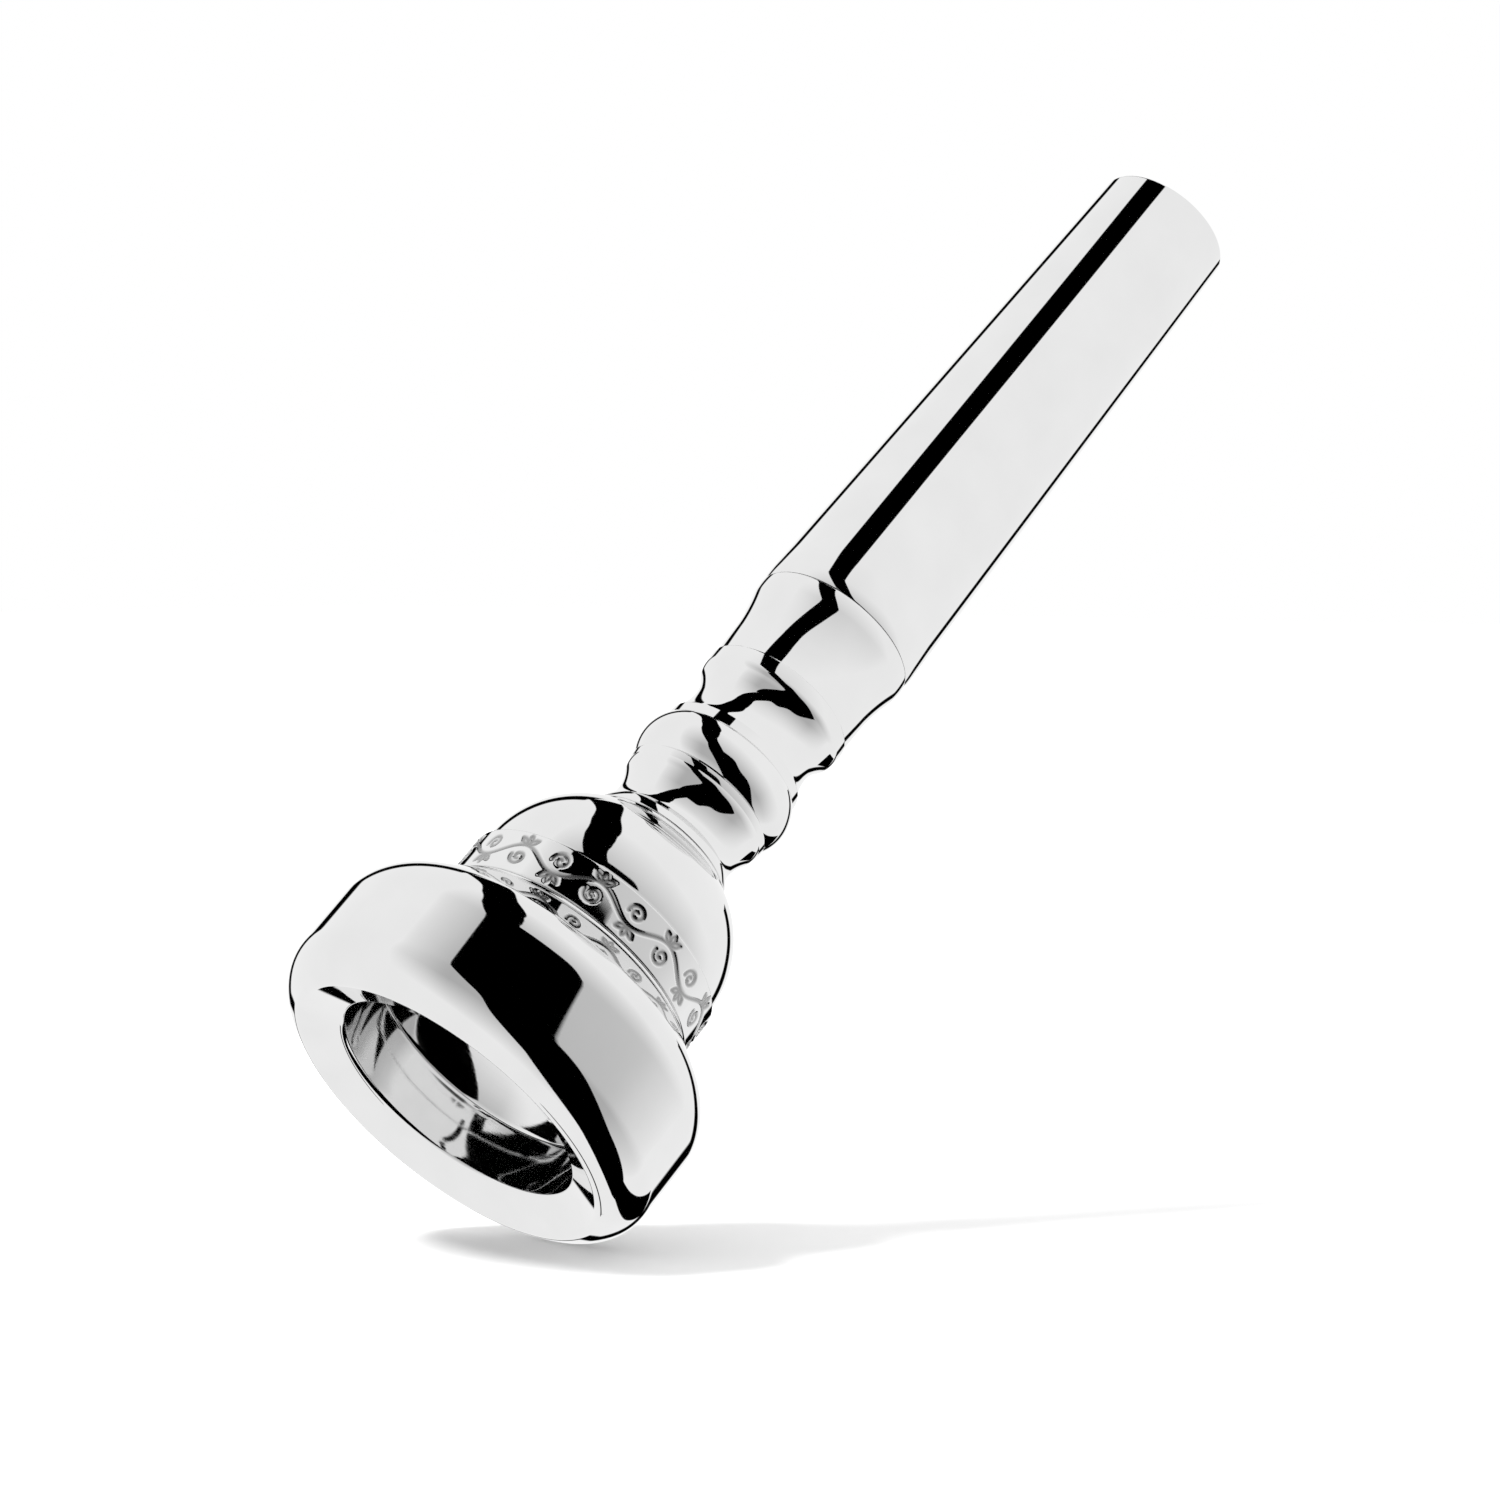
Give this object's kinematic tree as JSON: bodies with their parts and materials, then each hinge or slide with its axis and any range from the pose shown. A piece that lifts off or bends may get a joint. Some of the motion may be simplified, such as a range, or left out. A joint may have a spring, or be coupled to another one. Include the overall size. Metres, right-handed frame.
{
  "type": "trumpet mouthpiece",
  "caption": "Take-apart trumpet mouthpiece: screw rim, bowl-shaped cup, screw backbore with turned waist, and a tapered shank sleeve that fits the instrument's receiver.",
  "frame": {"origin": "centre of the rim's face, where the mouthpiece stands when it is set down on its rim", "axes": "+Z along the air way, from the rim towards the end of the shank; X and Y are any two square radii"},
  "size_m": [0.0278, 0.0278, 0.0851],
  "materials": {
    "silver_plated_brass": "brass under polished silver plate",
    "nitrile_rubber": "moulded black rubber"
  },
  "bodies": {
    "cup": {"cup": "silver_plated_brass"},
    "rim_seal": {"rim_seal": "nitrile_rubber"},
    "rim": {"rim": "silver_plated_brass"},
    "backbore_seal": {"backbore_seal": "nitrile_rubber"},
    "backbore": {"backbore": "silver_plated_brass"},
    "shank_sleeve": {"shank_sleeve": "silver_plated_brass"}
  },
  "joints": [
    {"name": "rim_travel", "type": "slide", "parent": "cup", "child": "rim_seal", "axis": [0, 0, -1], "range_m": [0, 0.00375]},
    {"name": "rim_turn", "type": "hinge", "parent": "rim_seal", "child": "rim", "pos_m": [0, 0, 0.006], "axis": [0, 0, -1], "range_deg": [0, 1800]},
    {"name": "backbore_travel", "type": "slide", "parent": "cup", "child": "backbore_seal", "axis": [0, 0, 1], "range_m": [0, 0.0045]},
    {"name": "backbore_turn", "type": "hinge", "parent": "backbore_seal", "child": "backbore", "pos_m": [0, 0, 0.019], "axis": [0, 0, 1], "range_deg": [0, 2160]},
    {"name": "sleeve_slide", "type": "slide", "parent": "backbore", "child": "shank_sleeve", "axis": [0, 0, 1], "range_m": [0, 0.041]}
  ],
  "couplings": [
    {"joint": "rim_turn", "follows": "rim_travel", "rad_per_m": 8377.6},
    {"joint": "backbore_turn", "follows": "backbore_travel", "rad_per_m": 8377.6}
  ]
}
